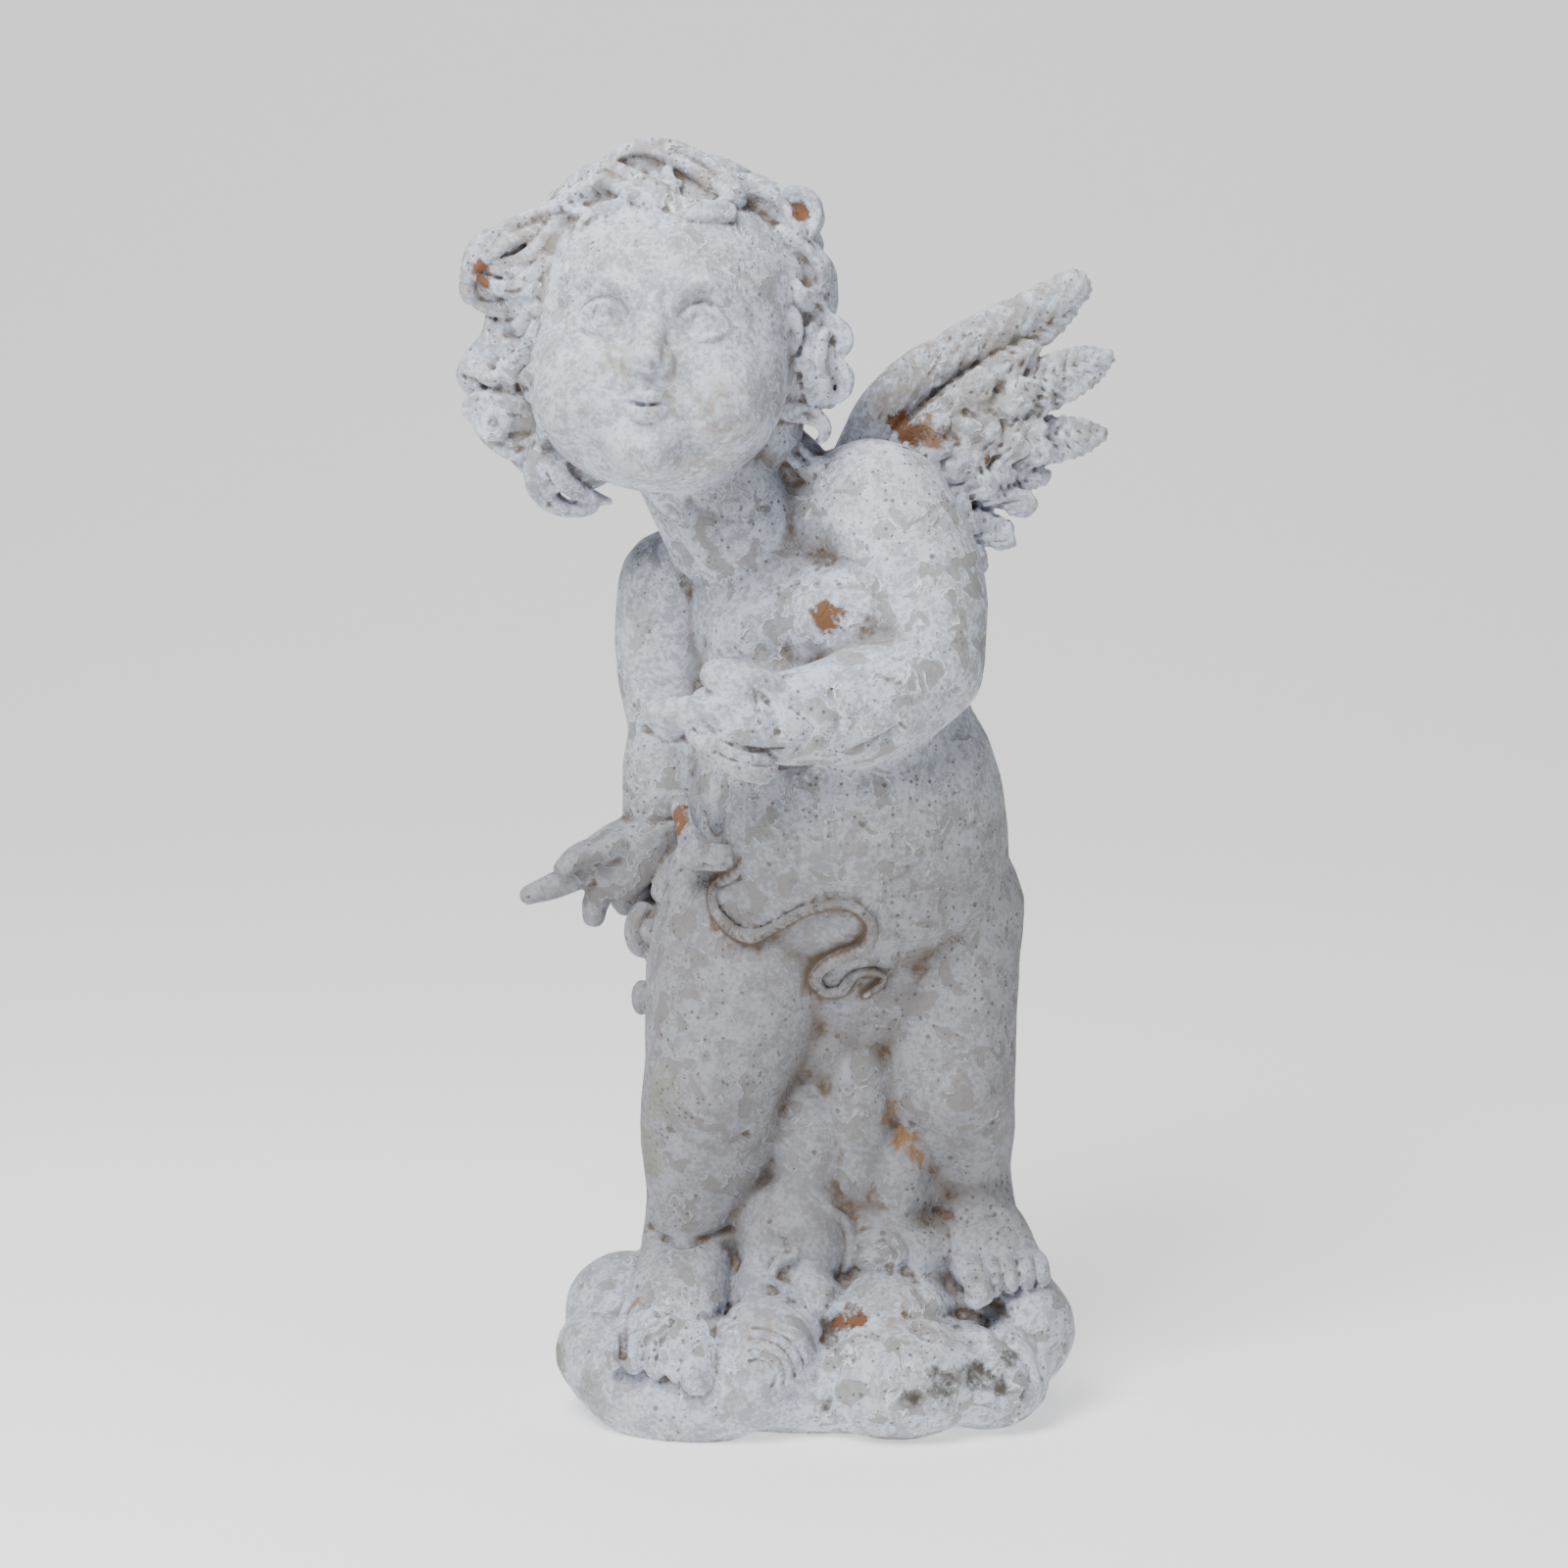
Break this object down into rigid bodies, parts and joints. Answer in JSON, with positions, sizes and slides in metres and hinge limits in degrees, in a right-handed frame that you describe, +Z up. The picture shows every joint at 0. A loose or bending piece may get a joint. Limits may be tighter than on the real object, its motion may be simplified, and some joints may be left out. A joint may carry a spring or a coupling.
{
  "type": "garden statue",
  "caption": "Garden figure of a chubby winged child in a loincloth, leaning forward on a bank of cloud, cast in one piece with a flat underside.",
  "frame": {"origin": "middle of the cloud's flat underside, below the figure", "axes": "+Z up, -Y towards someone who faces the statue, +X to that person's right"},
  "size_m": [0.203, 0.18, 0.3962],
  "materials": {
    "whitewashed_stone": "chalky weathered whitewash over terracotta-coloured cast stone"
  },
  "bodies": {
    "root": {"angel_statue": "whitewashed_stone"}
  },
  "joints": []
}
